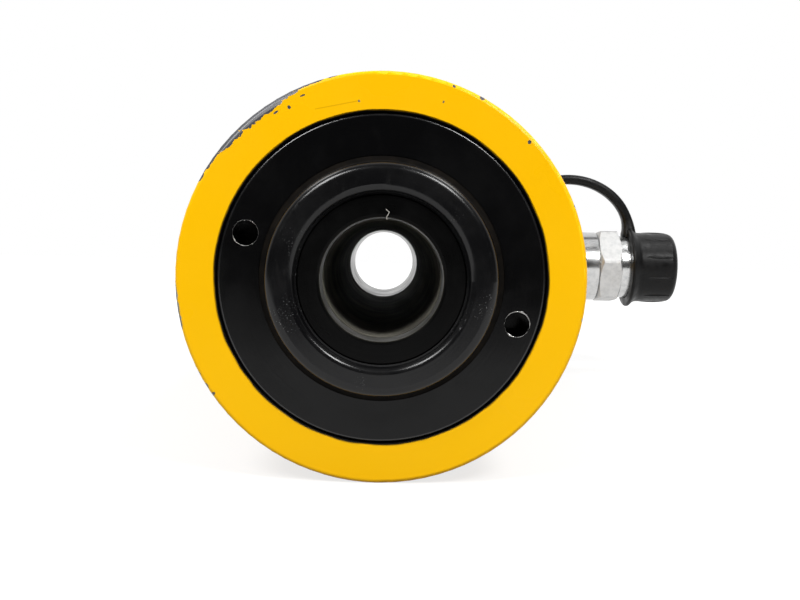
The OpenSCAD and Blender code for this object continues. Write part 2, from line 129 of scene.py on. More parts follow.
# %% Make the floor and the backdrop
FLOOR_HALF_WIDTH = 3.0
FLOOR_BACK = 3.0
FLOOR_FRONT = front_y - 0.42
FLOOR_GLOW_NEAR = 0.76
FLOOR_GLOW_FAR = 0.99
FLOOR_ALBEDO = 0.24
FLOOR_FADE_START = 0.12
FLOOR_FADE_END = 0.8
WORLD_BACK = 1.0
WORLD_FRONT = 0.03
WORLD_TURN_START = -0.35
WORLD_TURN_END = 0.25


def node_tree(material):
    material.use_nodes = True
    tree = material.node_tree
    tree.nodes.clear()
    return tree


def add(tree, kind, **settings):
    node = tree.nodes.new(kind)
    for key, value in settings.items():
        setattr(node, key, value)
    return node


def feed(tree, socket, value):
    if isinstance(value, bpy.types.NodeSocket):
        tree.links.new(value, socket)
    else:
        socket.default_value = value


def maths(tree, operation, a, b=0.0, c=0.0, clamp=False):
    node = add(tree, "ShaderNodeMath", operation=operation, use_clamp=clamp)
    for socket, value in zip(node.inputs, (a, b, c)):
        feed(tree, socket, value)
    return node.outputs[0]


def fade_between(tree, value, start, end, low, high):
    """A smooth rise from low to high while the value goes from start to end."""
    node = add(tree, "ShaderNodeMapRange", interpolation_type="SMOOTHSTEP")
    feed(tree, node.inputs["Value"], value)
    for name, number in (("From Min", start), ("From Max", end), ("To Min", low), ("To Max", high)):
        node.inputs[name].default_value = number
    return node.outputs[0]


def make_floor():
    mesh = bpy.data.meshes.new("floor")
    half = FLOOR_HALF_WIDTH
    corners = [(-half, FLOOR_FRONT, floor_z), (half, FLOOR_FRONT, floor_z),
               (half, FLOOR_BACK, floor_z), (-half, FLOOR_BACK, floor_z)]
    mesh.from_pydata(corners, [], [(0, 1, 2, 3)])
    floor = bpy.data.objects.new("floor", mesh)
    scene.collection.objects.link(floor)
    material = bpy.data.materials.new("pale_floor")
    tree = node_tree(material)
    paths = add(tree, "ShaderNodeLightPath")
    seen = maths(tree, "MAXIMUM", paths.outputs["Is Camera Ray"], paths.outputs["Is Glossy Ray"])
    seen = maths(tree, "MAXIMUM", seen, paths.outputs["Is Transmission Ray"])
    diffuse = add(tree, "ShaderNodeBsdfDiffuse")
    diffuse.inputs["Color"].default_value = (FLOOR_ALBEDO, FLOOR_ALBEDO, FLOOR_ALBEDO, 1)
    # The glow grows with the distance from the cylinder, so the shadow stays soft and the far floor is white
    place = add(tree, "ShaderNodeTexCoord")
    reach = add(tree, "ShaderNodeVectorMath", operation="DISTANCE")
    tree.links.new(place.outputs["Object"], reach.inputs[0])
    reach.inputs[1].default_value = (0, front_y / 2, floor_z)
    fade = fade_between(tree, reach.outputs["Value"], FLOOR_FADE_START, FLOOR_FADE_END,
                        FLOOR_GLOW_NEAR, FLOOR_GLOW_FAR)
    glow = add(tree, "ShaderNodeEmission")
    feed(tree, glow.inputs["Strength"], maths(tree, "MULTIPLY", seen, fade))
    both = add(tree, "ShaderNodeAddShader")
    tree.links.new(diffuse.outputs[0], both.inputs[0])
    tree.links.new(glow.outputs[0], both.inputs[1])
    output = add(tree, "ShaderNodeOutputMaterial")
    tree.links.new(both.outputs[0], output.inputs["Surface"])
    mesh.materials.append(material)
    return floor


def make_world():
    world = bpy.data.worlds.new("studio")
    scene.world = world
    world.use_nodes = True
    tree = world.node_tree
    tree.nodes.clear()
    place = add(tree, "ShaderNodeTexCoord")
    parts = add(tree, "ShaderNodeSeparateXYZ")
    tree.links.new(place.outputs["Generated"], parts.inputs[0])
    side = fade_between(tree, parts.outputs["Y"], WORLD_TURN_START, WORLD_TURN_END, WORLD_FRONT, WORLD_BACK)
    paths = add(tree, "ShaderNodeLightPath")
    seen = maths(tree, "MAXIMUM", paths.outputs["Is Camera Ray"], paths.outputs["Is Transmission Ray"])
    strength = maths(tree, "MAXIMUM", side, seen)
    background = add(tree, "ShaderNodeBackground")
    background.inputs["Color"].default_value = (1, 1, 1, 1)
    feed(tree, background.inputs["Strength"], strength)
    output = add(tree, "ShaderNodeOutputWorld")
    tree.links.new(background.outputs[0], output.inputs["Surface"])


make_floor()
make_world()
scene.view_settings.view_transform = "Standard"
print("floor at %.1f mm" % (floor_z / MM))

# %% [markdown]
# ## Lights
# Two softboxes stand above the camera, one to each side, and light the front. Two smaller ones hang above the
# cylinder. Their reflections are the bright arcs at the upper left and upper right of every turned edge.

# %% Hang the softboxes
SOFTBOXES = [
    ("softbox_left", (-0.46, -0.98, 0.74), 0.34, 8.6),
    ("softbox_right", (0.46, -0.98, 0.74), 0.26, 8.6),
    ("rim_left", (-0.50, -0.20, 0.80), 0.30, 1.6),
    ("rim_right", (0.50, -0.20, 0.80), 0.30, 2.2),
]

for name, place, size, watts in SOFTBOXES:
    lamp_data = bpy.data.lights.new(name, "AREA")
    lamp_data.energy = watts
    lamp_data.shape = "SQUARE"
    lamp_data.size = size
    lamp = bpy.data.objects.new(name, lamp_data)
    scene.collection.objects.link(lamp)
    lamp.location = place
    aim = Vector((0, front_y, 0)) - Vector(place)
    lamp.rotation_euler = aim.to_track_quat("-Z", "Y").to_euler()
print("softboxes:", len(SOFTBOXES))

# %% [markdown]
# ## Shared patterns
# The finishes share a few patterns. Radius and angle about the cylinder's axis place what follows the turned
# faces. Noise breaks up colour and gloss, because no real surface is one flat value.

# %% Build the shared patterns


class Finish:
    """A material with one Principled shader and the patterns that feed it."""

    def __init__(self, name):
        self.material = bpy.data.materials.new(name)
        self.tree = node_tree(self.material)
        self.shader = add(self.tree, "ShaderNodeBsdfPrincipled")
        output = add(self.tree, "ShaderNodeOutputMaterial")
        self.tree.links.new(self.shader.outputs[0], output.inputs["Surface"])
        self.place = add(self.tree, "ShaderNodeTexCoord").outputs["Object"]
        parts = add(self.tree, "ShaderNodeSeparateXYZ")
        self.tree.links.new(self.place, parts.inputs[0])
        self.x, self.y, self.z = parts.outputs

    def set(self, **values):
        for key, value in values.items():
            feed(self.tree, self.shader.inputs[key.replace("_", " ")], value)
        return self

    def math(self, operation, a, b=0.0, c=0.0, clamp=False):
        return maths(self.tree, operation, a, b, c, clamp)

    def radius(self):
        return self.math("SQRT", self.math("ADD", self.math("MULTIPLY", self.x, self.x),
                                           self.math("MULTIPLY", self.z, self.z)))

    def angle(self):
        return self.math("ARCTAN2", self.z, self.x)

    def noise(self, scale, detail=3.0, rough=0.5, place=None, stretch=None):
        node = add(self.tree, "ShaderNodeTexNoise")
        where = place or self.place
        if stretch:
            mapping = add(self.tree, "ShaderNodeMapping")
            self.tree.links.new(where, mapping.inputs["Vector"])
            mapping.inputs["Scale"].default_value = stretch
            where = mapping.outputs[0]
        self.tree.links.new(where, node.inputs["Vector"])
        node.inputs["Scale"].default_value = scale
        node.inputs["Detail"].default_value = detail
        node.inputs["Roughness"].default_value = rough
        return node.outputs["Fac"]

    def band(self, value, low, high, to_low=0.0, to_high=1.0, smooth=True):
        node = add(self.tree, "ShaderNodeMapRange", clamp=True)
        node.interpolation_type = "SMOOTHSTEP" if smooth else "LINEAR"
        feed(self.tree, node.inputs["Value"], value)
        for name, number in (("From Min", low), ("From Max", high), ("To Min", to_low), ("To Max", to_high)):
            feed(self.tree, node.inputs[name], number)
        return node.outputs[0]

    def mix(self, factor, a, b):
        node = add(self.tree, "ShaderNodeMix", data_type="RGBA")
        feed(self.tree, node.inputs["Factor"], factor)
        feed(self.tree, node.inputs[6], a)
        feed(self.tree, node.inputs[7], b)
        return node.outputs[2]

    def polar(self):
        """Radius, turn and depth as a vector, for patterns that run round the axis."""
        node = add(self.tree, "ShaderNodeCombineXYZ")
        feed(self.tree, node.inputs[0], self.radius())
        feed(self.tree, node.inputs[1], self.math("MULTIPLY", self.angle(), 0.01))
        feed(self.tree, node.inputs[2], self.y)
        return node.outputs[0]

    def bump(self, height, distance, strength=1.0):
        node = add(self.tree, "ShaderNodeBump")
        feed(self.tree, node.inputs["Height"], height)
        node.inputs["Distance"].default_value = distance
        node.inputs["Strength"].default_value = strength
        self.tree.links.new(node.outputs[0], self.shader.inputs["Normal"])
        return self


def paint_on(name, finish):
    """Gives a CAD node its finish."""
    mesh = nodes[name].data
    mesh.materials.clear()
    mesh.materials.append(finish.material)


print("patterns ready")

# %% [markdown]
# ## Yellow paint
# The body has a thick yellow enamel. It is chipped along the sharp front edge, most of all at the upper
# left, where the bare steel shows grey. Each chip is a blob in angle and radius with a ragged rim from noise,
# so the chips sit on the edge where the photo has them. Noise alone sets the small knocks further back.

# %% Paint the body
YELLOW = (0.93, 0.505, 0.001, 1)
YELLOW_DEEP = (0.88, 0.45, 0.001, 1)
BARE_STEEL = (0.085, 0.086, 0.092, 1)
BARE_BRIGHT = (0.42, 0.42, 0.42, 1)
SCRATCH_BROWN = (0.35, 0.17, 0.0, 1)
# Painted shade: near black inside the mouth of the bore, for the dark gap round the stop ring
MOUTH_SHADE_BLACK = (0.004, 0.004, 0.004, 1)
# Ends of the scratch on the front face in mm across and up, and its half width in mm
SCRATCH_START = (-19.2, 46.1)
SCRATCH_END = (-7.4, 48.6)
SCRATCH_HALF_WIDTH = 0.22
# Angle in degrees from the coupler, radius in mm, half length and half width in mm
CHIPS = [
    (129.5, 57.4, 9.5, 2.6), (138.5, 57.3, 5.5, 2.1), (146.5, 57.3, 5, 1), (121.5, 57.2, 5.5, 1.5),
    (112.5, 57.3, 6, 0.8), (105, 57.3, 2.2, 0.5), (117, 56.3, 1.6, 0.4), (96, 57.4, 2.5, 0.3),
    (126, 56.2, 6, 1.4),
    (151.5, 57.3, 2, 0.8), (188.5, 57.4, 6.5, 0.9), (192.5, 57.4, 3, 1),
    (208.5, 57.3, 0.8, 0.6), (212.5, 57.4, 1.3, 0.8), (215.5, 57, 0.5, 1), (62, 56.8, 0.7, 0.5),
    (43.9, 55.4, 0.5, 0.5), (70.5, 56.4, 0.5, 0.5), (71.9, 51.4, 0.2, 0.35), (119.5, 53.4, 0.45, 0.5),
    (114.5, 54.6, 0.7, 0.25), (98.4, 49.1, 0.28, 0.3), (21.5, 57.3, 1.2, 0.5), (6.5, 57.4, 0.8, 0.5),
    (-10.5, 57.3, 0.6, 0.6), (-15, 57.4, 0.7, 0.5), (123.5, 54, 0.8, 0.25),
]


def paint_chips(finish, rim):
    """The largest of all chip masks, each 1 inside its blob."""
    radius = finish.radius()
    angle = finish.angle()
    total = None
    for turn, middle, length, width in CHIPS:
        at = math.radians(turn if turn <= 180 else turn - 360)
        away = finish.math("WRAP", finish.math("SUBTRACT", angle, at), math.pi, -math.pi)
        along = finish.math("MULTIPLY", away, middle / length)
        across = finish.math("MULTIPLY_ADD", radius, 1 / (width * MM), -middle / width)
        spread = finish.math("ADD", finish.math("MULTIPLY", along, along),
                             finish.math("MULTIPLY", across, across))
        one = finish.math("SUBTRACT", 1.0, finish.math("ADD", spread, rim))
        total = one if total is None else finish.math("MAXIMUM", total, one)
    return total


def scratch_line(finish, start, end, half_width):
    """A thin straight mark on the front face, from its ends in mm across and up."""
    run = Vector(end) - Vector(start)
    length = run.length
    run = run / length
    dx = finish.math("SUBTRACT", finish.x, start[0] * MM)
    dz = finish.math("SUBTRACT", finish.z, start[1] * MM)
    along = finish.math("ADD", finish.math("MULTIPLY", dx, run.x), finish.math("MULTIPLY", dz, run.y))
    across = finish.math("SUBTRACT", finish.math("MULTIPLY", dz, run.x), finish.math("MULTIPLY", dx, run.y))
    thin = finish.band(finish.math("ABSOLUTE", across), half_width * 0.4 * MM, half_width * MM, 1.0, 0.0)
    inside = finish.math("MULTIPLY", finish.math("GREATER_THAN", along, 0.0),
                         finish.math("LESS_THAN", along, length * MM))
    return finish.math("MULTIPLY", thin, inside)


def yellow_paint():
    finish = Finish("yellow_paint")
    ragged = finish.noise(620, 4, 0.6)
    rim = finish.band(ragged, 0.3, 0.7, -0.5, 0.6, smooth=False)
    chips = finish.band(paint_chips(finish, rim), -0.05, 0.05)
    near_front = finish.band(finish.y, front_y + 1.5 * MM, front_y + 3.5 * MM, 1.0, 0.0)
    chips = finish.math("MULTIPLY", chips, near_front)
    # The paint stops at the mouth of the bore, with a slightly wavy edge. Inside that edge the body is
    # coloured near black: painted shade for the dark gap round the stop ring and the bore.
    mouth_r = stop_high.x + 0.3 * MM
    wave = finish.band(finish.noise(90, 2), 0.3, 0.7, -0.14 * MM, 0.14 * MM)
    edge = finish.math("ADD", finish.radius(), wave)
    inner = finish.band(edge, mouth_r + 0.15 * MM, mouth_r + 0.75 * MM, 1.0, 0.0)
    # The base at the other end is painted all over
    ahead = finish.band(finish.y, -6 * MM, -4 * MM, 1.0, 0.0)
    inner = finish.math("MULTIPLY", inner, ahead)
    # Small knocks everywhere else on the body
    knocks = finish.band(finish.noise(70, 5, 0.62), 0.70, 0.715)
    behind = finish.band(finish.y, front_y + 2 * MM, front_y + 4 * MM)
    bare = finish.math("MAXIMUM", chips, finish.math("MULTIPLY", knocks, behind))
    tone = finish.band(finish.noise(9, 2), 0.35, 0.7)
    paint = finish.mix(finish.math("MULTIPLY", tone, 0.45), YELLOW, YELLOW_DEEP)
    streaks = finish.band(finish.noise(700, 3, place=finish.polar(), stretch=(1, 0.12, 1)), 0.52, 0.72)
    steel = finish.mix(streaks, BARE_STEEL, BARE_BRIGHT)
    scratch = scratch_line(finish, SCRATCH_START, SCRATCH_END, SCRATCH_HALF_WIDTH)
    scratch = finish.math("MULTIPLY", scratch, near_front)
    paint = finish.mix(finish.math("MULTIPLY", scratch, 0.35), paint, SCRATCH_BROWN)
    colour = finish.mix(bare, paint, steel)
    # Painted shade: near black inside the mouth of the bore
    colour = finish.mix(inner, colour, MOUTH_SHADE_BLACK)
    finish.set(Base_Color=colour)
    finish.set(Metallic=finish.math("MULTIPLY", bare, 0.6))
    finish.set(Specular_IOR_Level=0.15)
    gloss = finish.band(finish.noise(40, 3), 0.3, 0.7, 0.26, 0.36)
    finish.set(Roughness=finish.math("MULTIPLY_ADD", bare, 0.16, gloss))
    orange_peel = finish.math("MULTIPLY", finish.noise(420, 2), 0.12)
    height = finish.math("SUBTRACT", orange_peel, finish.math("MULTIPLY", bare, 1.0))
    finish.bump(height, 0.12 * MM, 0.6)
    return finish


paint_finish = yellow_paint()
paint_on("cylinder_body", paint_finish)
print("chips:", len(CHIPS))

# %% [markdown]
# ## Blackened steel
# The stop ring, plunger and saddle are turned and blackened. Turning leaves fine rings round the axis, and
# use leaves scuffs. The plunger's end, which pushes, is scuffed most, and the saddle in its recess least.

# %% Blacken the turned steel
SPECK_GREY = (0.5, 0.5, 0.5, 1)
HOLE_OIL = (0.032, 0.030, 0.024, 1)
SADDLE_HOLE_R = 16.8 * MM


def black_steel(name, dark, light, scuffs, rough_low, rough_high, shine, specks=0.0, hole_r=0.0):
    finish = Finish(name)
    smear = finish.band(finish.noise(55, 5, 0.6), 0.35, 0.75)
    rings = finish.noise(1500, 3, 0.6, place=finish.polar(), stretch=(1, 0.02, 0.4))
    marks = finish.band(finish.noise(380, 5, 0.7, stretch=(1, 1, 0.5)), 0.56, 0.72)
    worn = finish.math("MULTIPLY", finish.math("ADD", finish.math("MULTIPLY", smear, 0.55),
                                               finish.math("MULTIPLY", marks, 0.6)), scuffs, clamp=True)
    colour = finish.mix(worn, dark, light)
    if specks:
        dots = finish.band(finish.noise(2600, 2, 0.5), 0.66, 0.72)
        patch = finish.band(finish.noise(60, 3), 0.52, 0.66)
        dots = finish.math("MULTIPLY", dots, patch)
        colour = finish.mix(finish.math("MULTIPLY", dots, specks), colour, SPECK_GREY)
    if hole_r:
        inside = finish.band(finish.radius(), hole_r + 0.05 * MM, hole_r + 0.3 * MM, 1.0, 0.0)
        colour = finish.mix(inside, colour, HOLE_OIL)
    finish.set(Base_Color=colour)
    finish.set(Metallic=0.0, Specular_IOR_Level=shine)
    finish.set(Roughness=finish.band(finish.math("ADD", finish.math("MULTIPLY", smear, 0.6),
                                                 finish.math("MULTIPLY", rings, 0.4)),
                                     0.1, 0.8, rough_low, rough_high))
    finish.bump(rings, 0.02 * MM, 0.5)
    return finish


stop_finish = black_steel("stop_ring_black", (0.0022, 0.0022, 0.0024, 1), (0.006, 0.006, 0.006, 1),
                          scuffs=0.5, rough_low=0.15, rough_high=0.25, shine=0.2)
plunger_finish = black_steel("plunger_black", (0.0032, 0.0032, 0.0036, 1), (0.012, 0.012, 0.012, 1),
                             scuffs=0.8, rough_low=0.17, rough_high=0.26, shine=0.3, specks=0.25)
saddle_finish = black_steel("saddle_black", (0.001, 0.001, 0.001, 1), (0.003, 0.003, 0.003, 1),
                            scuffs=0.4, rough_low=0.26, rough_high=0.4, shine=0.1, hole_r=SADDLE_HOLE_R)
paint_on("stop_ring", stop_finish)
paint_on("tube_retaining_ring", stop_finish)
paint_on("plunger", plunger_finish)
paint_on("saddle", saddle_finish)
print("blackened pieces: 4")

# %% [markdown]
# ## Centre tube
# The tube round the through hole is turned steel. Its inside is dark with old oil, except for the last
# stretch at the base, which is wiped bright. The change is placed along Y.

# %% Oil the centre tube
BRIGHT_LENGTH = 82 * MM
TUBE_HOLE_EDGE = (17.2 * MM, 18.2 * MM)
OIL_DARK = (0.10, 0.095, 0.08, 1)
OIL_LIGHT = (0.20, 0.19, 0.155, 1)
WIPED_LIGHT = (0.26, 0.26, 0.25, 1)
WIPED_DARK = (0.14, 0.14, 0.135, 1)


def tube_steel():
    finish = Finish("tube_steel")
    inside = finish.band(finish.radius(), *TUBE_HOLE_EDGE, 1.0, 0.0)
    limit = finish.math("ADD", finish.y, finish.band(finish.noise(80, 3), 0.3, 0.7, -0.8 * MM, 0.8 * MM))
    bright = finish.band(limit, -BRIGHT_LENGTH - 0.6 * MM, -BRIGHT_LENGTH + 0.6 * MM)
    oily = finish.math("MULTIPLY", inside, finish.math("SUBTRACT", 1.0, bright))
    grime = finish.band(finish.noise(60, 5, 0.6), 0.35, 0.7)
    oil = finish.mix(grime, OIL_DARK, OIL_LIGHT)
    wiped = finish.mix(grime, WIPED_LIGHT, WIPED_DARK)
    colour = finish.mix(oily, wiped, oil)
    finish.set(Base_Color=colour)
    finish.set(Metallic=finish.math("SUBTRACT", 1.0, oily))
    finish.set(Specular_IOR_Level=finish.band(oily, 0, 1, 0.5, 0.06, smooth=False))
    rough = finish.band(finish.noise(90, 3), 0.3, 0.7, 0.26, 0.42)
    finish.set(Roughness=finish.math("MULTIPLY_ADD", oily, 0.45, rough))
    finish.bump(finish.noise(1200, 3, place=finish.polar(), stretch=(1, 0.03, 1)), 0.006 * MM, 0.3)
    return finish


paint_on("centre_tube", tube_steel())
print("bright stretch %.0f mm" % (BRIGHT_LENGTH / MM))

# %% [markdown]
# ## Zinc plate
# The coupler is zinc plated. Its round stretches are polished and mirror the room in bands along the axis,
# and the flats of the hex are duller and faintly mottled.

# %% Plate the coupler
HEX_LENGTH = 11.5 * MM
HEX_FLAT_EDGE = (16.6 * MM, 16.9 * MM)
ZINC_LIGHT = (0.61, 0.61, 0.605, 1)
ZINC_DARK = (0.51, 0.515, 0.515, 1)
hex_low_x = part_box("coupler_adapter")[1].x
hex_high_x = hex_low_x + HEX_LENGTH


def zinc_plate():
    finish = Finish("zinc_plate")
    depth = finish.math("SUBTRACT", finish.y, port_y)
    reach = finish.math("SQRT", finish.math("ADD", finish.math("MULTIPLY", depth, depth),
                                            finish.math("MULTIPLY", finish.z, finish.z)))
    on_hex = finish.math("MULTIPLY", finish.band(finish.x, hex_low_x - 0.1 * MM, hex_low_x + 0.1 * MM),
                         finish.band(finish.x, hex_high_x - 0.1 * MM, hex_high_x + 0.1 * MM, 1.0, 0.0))
    on_hex = finish.math("MULTIPLY", on_hex, finish.band(reach, *HEX_FLAT_EDGE))
    mottle = finish.noise(350, 4, 0.6)
    tint = finish.mix(finish.band(mottle, 0.35, 0.7), ZINC_LIGHT, ZINC_DARK)
    finish.set(Base_Color=tint)
    finish.set(Metallic=1.0)
    polish = finish.band(finish.noise(120, 3), 0.3, 0.7, 0.19, 0.27)
    finish.set(Roughness=finish.math("MULTIPLY_ADD", on_hex, 0.36, polish))
    depth_share = finish.math("MULTIPLY_ADD", on_hex, 0.9, 0.1)
    finish.bump(finish.math("MULTIPLY", mottle, depth_share), 0.03 * MM, 0.4)
    return finish


zinc_finish = zinc_plate()
for name in ("coupler_adapter", "coupler_nose", "poppet"):
    paint_on(name, zinc_finish)
print("hex from %.1f to %.1f mm" % (hex_low_x / MM, hex_high_x / MM))

# %% [markdown]
# ## Rubber, bronze, plastic and wire
# The cap and strap are moulded rubber with a fine grain. The wiper is brown and shows as a thin line round
# the plunger. The rings and springs inside are seldom seen, but they get their own finish too.

# %% Mix the smaller finishes


def plain_finish(name, colour, other, rough_low, rough_high, metallic, grain, depth, shine=0.5):
    finish = Finish(name)
    finish.set(Specular_IOR_Level=shine)
    pattern = finish.noise(grain, 4, 0.6)
    finish.set(Base_Color=finish.mix(finish.band(pattern, 0.3, 0.75), colour, other))
    finish.set(Metallic=metallic)
    finish.set(Roughness=finish.band(finish.noise(grain * 0.3, 3), 0.3, 0.7, rough_low, rough_high))
    finish.bump(pattern, depth, 0.5)
    return finish


rubber = plain_finish("cap_rubber", (0.0038, 0.0038, 0.004, 1), (0.008, 0.008, 0.008, 1), 0.3, 0.46,
                      metallic=0.0, grain=800, depth=0.03 * MM, shine=0.17)
seal_rubber = plain_finish("seal_rubber", (0.010, 0.010, 0.010, 1), (0.02, 0.02, 0.02, 1), 0.4, 0.55,
                           metallic=0.0, grain=500, depth=0.02 * MM)
wiper_rubber = plain_finish("wiper_rubber", (0.0025, 0.002, 0.0016, 1), (0.008, 0.006, 0.004, 1), 0.45, 0.6,
                            metallic=0.0, grain=300, depth=0.03 * MM, shine=0.06)
bronze = plain_finish("bearing_bronze", (0.55, 0.33, 0.13, 1), (0.40, 0.23, 0.09, 1), 0.25, 0.4,
                      metallic=1.0, grain=500, depth=0.01 * MM)
wire = plain_finish("spring_steel", (0.25, 0.26, 0.28, 1), (0.14, 0.14, 0.15, 1), 0.3, 0.45,
                    metallic=1.0, grain=300, depth=0.01 * MM)
white_plastic = plain_finish("backup_plastic", (0.82, 0.82, 0.79, 1), (0.74, 0.73, 0.69, 1), 0.4, 0.5,
                             metallic=0.0, grain=200, depth=0.01 * MM)
wear_plastic = plain_finish("wear_plastic", (0.05, 0.15, 0.09, 1), (0.08, 0.2, 0.12, 1), 0.45, 0.6,
                            metallic=0.0, grain=250, depth=0.01 * MM)
burr_steel = plain_finish("burr_steel", (0.55, 0.54, 0.52, 1), (0.22, 0.22, 0.22, 1), 0.2, 0.4,
                          metallic=1.0, grain=900, depth=0.03 * MM)

FINISH_OF = {
    "rod_wiper": wiper_rubber, "gland_bearing": bronze, "poppet_guide": bronze,
    "piston_seal": seal_rubber, "inner_seal": seal_rubber, "tube_o_ring": seal_rubber,
    "nose_seal": seal_rubber, "piston_backup_ring": white_plastic, "inner_backup_ring": white_plastic,
    "tube_backup_ring": white_plastic, "piston_wear_ring": wear_plastic,
}
for name, finish in FINISH_OF.items():
    paint_on(name, finish)
print("smaller finishes on", len(FINISH_OF), "pieces")

# %% [markdown]
# ## Dust cap
# The cap is one rubber moulding: a cup with a rounded end and a flared lip, and soft ribs to grip it by. The
# cup is a profile turned about the coupler's axis. The ribs repeat, so Geometry Nodes set one soft bar at
# each point of a circle.

# %% Turn the cap's cup
SEGMENTS = 96


def new_piece(name, mesh, finish, body):
    piece = bpy.data.objects.new(name, mesh)
    scene.collection.objects.link(piece)
    mesh.materials.clear()
    mesh.materials.append(finish.material)
    if body:
        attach(piece, body)
    return piece


def arc(centre, r, start, end, steps):
    """Points of an arc in a profile, with angles in degrees."""
    turns = [math.radians(start + (end - start) * i / steps) for i in range(steps + 1)]
    return [(centre[0] + r * math.cos(t), centre[1] + r * math.sin(t)) for t in turns]


def on_coupler(along, across, up):
    return along, port_y + across, up


def on_cylinder(along, across, up):
    return across, along, up


def turned(name, profile, place=on_coupler, crease=35):
    """A closed solid turned about an axis from points of place along it and radius."""
    mesh = bpy.data.meshes.new(name)
    build = bmesh.new()
    rows = []
    for along, r in profile:
        if r < 1e-7:
            rows.append([build.verts.new(place(along, 0, 0))])
            continue
        row = []
        for i in range(SEGMENTS):
            t = 2 * math.pi * i / SEGMENTS
            row.append(build.verts.new(place(along, r * math.cos(t), r * math.sin(t))))
        rows.append(row)
    pairs = list(zip(rows, rows[1:]))
    if len(rows[0]) > 1 and len(rows[-1]) > 1:
        pairs.append((rows[-1], rows[0]))
    for a, b in pairs:
        for i in range(SEGMENTS):
            j = (i + 1) % SEGMENTS
            if len(a) == 1:
                build.faces.new((a[0], b[i], b[j]))
            elif len(b) == 1:
                build.faces.new((a[i], b[0], a[j]))
            else:
                build.faces.new((a[i], b[i], b[j], a[j]))
    bmesh.ops.recalc_face_normals(build, faces=build.faces)
    build.to_mesh(mesh)
    build.free()
    mesh.shade_smooth()
    mesh.set_sharp_from_angle(angle=math.radians(crease))
    return mesh


cap_r = 18.75 * MM
lip_r = cap_high.z
cap_x0 = cap_low.x
cap_x1 = cap_high.x
cap_inner_r = 15.3 * MM
neck_inner_r = 17.0 * MM
neck_end_x = cap_x0 + 1.5 * MM
cap_floor_x = cap_x1 - 4 * MM
END_ROUND = 3.6 * MM
LIP_ROUND = 1.1 * MM
LIP_LENGTH = 3.6 * MM

cap_profile = (
    [(cap_floor_x, 0), (cap_floor_x, cap_inner_r), (neck_end_x, cap_inner_r), (neck_end_x, neck_inner_r),
     (cap_x0, neck_inner_r)]
    + arc((cap_x0 + LIP_ROUND, lip_r - LIP_ROUND), LIP_ROUND, 180, 60, 8)
    + [(cap_x0 + LIP_LENGTH, cap_r + 0.75 * MM), (cap_x0 + LIP_LENGTH + 1.2 * MM, cap_r + 0.2 * MM),
       (cap_x0 + LIP_LENGTH + 2.4 * MM, cap_r)]
    + arc((cap_x1 - END_ROUND, cap_r - 0.3 * MM - END_ROUND), END_ROUND, 90, 0, 10)
    + [(cap_x1 - 0.15 * MM, cap_r * 0.55), (cap_x1 - 0.3 * MM, 0)]
)
cap = new_piece("dust_cap_shell", turned("dust_cap_shell", cap_profile), rubber, "dust_cap")
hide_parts("dust_cap")
print("cap from %.1f to %.1f mm" % (cap_x0 / MM, cap_x1 / MM))

# %% [markdown]
# The ribs are long soft bars, half sunk in the cup. A circle of points carries one bar each, and the tree's
# inputs are the count, the circle and the bar's sizes.

# %% Set the cap's grip ribs with Geometry Nodes


def new_tree(name, sizes):
    """A geometry tree with named number inputs and one geometry output."""
    tree = bpy.data.node_groups.new(name, "GeometryNodeTree")
    for key, kind in sizes:
        tree.interface.new_socket(key, in_out="INPUT", socket_type=kind)
    tree.interface.new_socket("Geometry", in_out="OUTPUT", socket_type="NodeSocketGeometry")
    return tree, add(tree, "NodeGroupInput"), add(tree, "NodeGroupOutput")


def grow(name, tree, values, finish, body, crease=35):
    """Runs a geometry tree and keeps its result as a plain mesh."""
    holder = bpy.data.objects.new(name + "_holder", bpy.data.meshes.new(name + "_holder"))
    scene.collection.objects.link(holder)
    modifier = holder.modifiers.new("grow", "NODES")
    modifier.node_group = tree
    for item in tree.interface.items_tree:
        if item.item_type == "SOCKET" and item.in_out == "INPUT" and item.name in values:
            modifier[item.identifier] = values[item.name]
    result = holder.evaluated_get(bpy.context.evaluated_depsgraph_get())
    mesh = bpy.data.meshes.new_from_object(result)
    mesh.name = name
    holder.modifiers.remove(modifier)
    bpy.data.objects.remove(holder)
    mesh.shade_smooth()
    mesh.set_sharp_from_angle(angle=math.radians(crease))
    return new_piece(name, mesh, finish, body)


def rib_tree():
    tree, given, out = new_tree("grip_ribs", [
        ("Count", "NodeSocketInt"), ("Circle", "NodeSocketFloat"), ("Rib radius", "NodeSocketFloat"),
        ("Rib length", "NodeSocketFloat"), ("Middle", "NodeSocketVector"), ("Finish", "NodeSocketMaterial")])
    link = tree.links.new
    circle = add(tree, "GeometryNodeMeshCircle")
    link(given.outputs["Count"], circle.inputs["Vertices"])
    link(given.outputs["Circle"], circle.inputs["Radius"])
    bar = add(tree, "GeometryNodeMeshUVSphere")
    bar.inputs["Segments"].default_value = 16
    bar.inputs["Rings"].default_value = 14
    link(given.outputs["Rib radius"], bar.inputs["Radius"])
    half = add(tree, "ShaderNodeMath", operation="DIVIDE")
    link(given.outputs["Rib length"], half.inputs[0])
    link(given.outputs["Rib radius"], half.inputs[1])
    shape = add(tree, "ShaderNodeCombineXYZ")
    shape.inputs[0].default_value = 1
    shape.inputs[1].default_value = 1
    link(half.outputs[0], shape.inputs[2])
    spread = add(tree, "GeometryNodeInstanceOnPoints")
    link(circle.outputs[0], spread.inputs["Points"])
    link(bar.outputs["Mesh"], spread.inputs["Instance"])
    link(shape.outputs[0], spread.inputs["Scale"])
    turn = add(tree, "GeometryNodeTransform")
    turn.inputs["Rotation"].default_value = (0, math.pi / 2, 0)
    link(spread.outputs[0], turn.inputs["Geometry"])
    link(given.outputs["Middle"], turn.inputs["Translation"])
    real = add(tree, "GeometryNodeRealizeInstances")
    link(turn.outputs[0], real.inputs[0])
    coat = add(tree, "GeometryNodeSetMaterial")
    link(real.outputs[0], coat.inputs["Geometry"])
    link(given.outputs["Finish"], coat.inputs["Material"])
    link(coat.outputs[0], out.inputs[0])
    return tree


